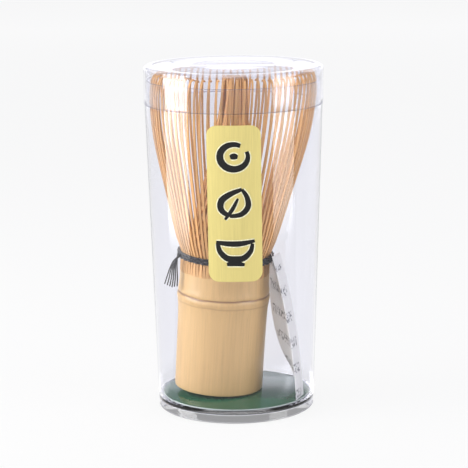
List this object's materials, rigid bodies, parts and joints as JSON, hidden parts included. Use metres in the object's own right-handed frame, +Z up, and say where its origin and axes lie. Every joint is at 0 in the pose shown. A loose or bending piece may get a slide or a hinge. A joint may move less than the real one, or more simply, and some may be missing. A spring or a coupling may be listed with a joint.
{
  "type": "bamboo tea whisk in a clear case",
  "caption": "Bamboo whisk with split, flared tines and a thread binding, leaning in a round clear case with a lift-off lid, a disc, a label and a folded leaflet.",
  "frame": {"origin": "centre of the case's foot, in the plane that it stands on", "axes": "+Z up along the case's axis; the label faces -Y; +X is to the right of someone who faces the label"},
  "size_m": [0.064, 0.064, 0.1244],
  "materials": {
    "clear_case": "clear glossy moulded plastic",
    "clear_lid": "clear glossy moulded plastic",
    "green_disc": "glossy dark green card",
    "gold_label": "pale brushed gold foil with black marks",
    "paper": "thin white printed paper",
    "bamboo": "smooth dried bamboo, satin",
    "bamboo_tines": "split and shaved bamboo, matt",
    "bamboo_inner": "split and shaved bamboo, matt, darker",
    "black_thread": "waxed black cotton thread"
  },
  "bodies": {
    "case": {"case_tube": "clear_case", "base_disc": "green_disc", "front_label": "gold_label"},
    "lid": {"case_lid": "clear_lid"},
    "whisk": {"handle": "bamboo", "outer_tines": "bamboo_tines", "inner_tines": "bamboo_inner", "binding_thread": "black_thread", "thread_tail": "black_thread"},
    "leaflet": {"leaflet": "paper"}
  },
  "joints": [
    {"name": "lid_lift", "type": "slide", "parent": "case", "child": "lid", "axis": [0, 0, 1], "range_m": [0, 0.27]},
    {"name": "whisk_lift", "type": "slide", "parent": "case", "child": "whisk", "axis": [0, 0, 1], "range_m": [0, 0.189]},
    {"name": "leaflet_lift", "type": "slide", "parent": "case", "child": "leaflet", "axis": [0, 0, 1], "range_m": [0, 0.1215]}
  ],
  "couplings": [
    {"joint": "whisk_lift", "follows": "lid_lift", "ratio": 0.7},
    {"joint": "leaflet_lift", "follows": "lid_lift", "ratio": 0.45}
  ]
}
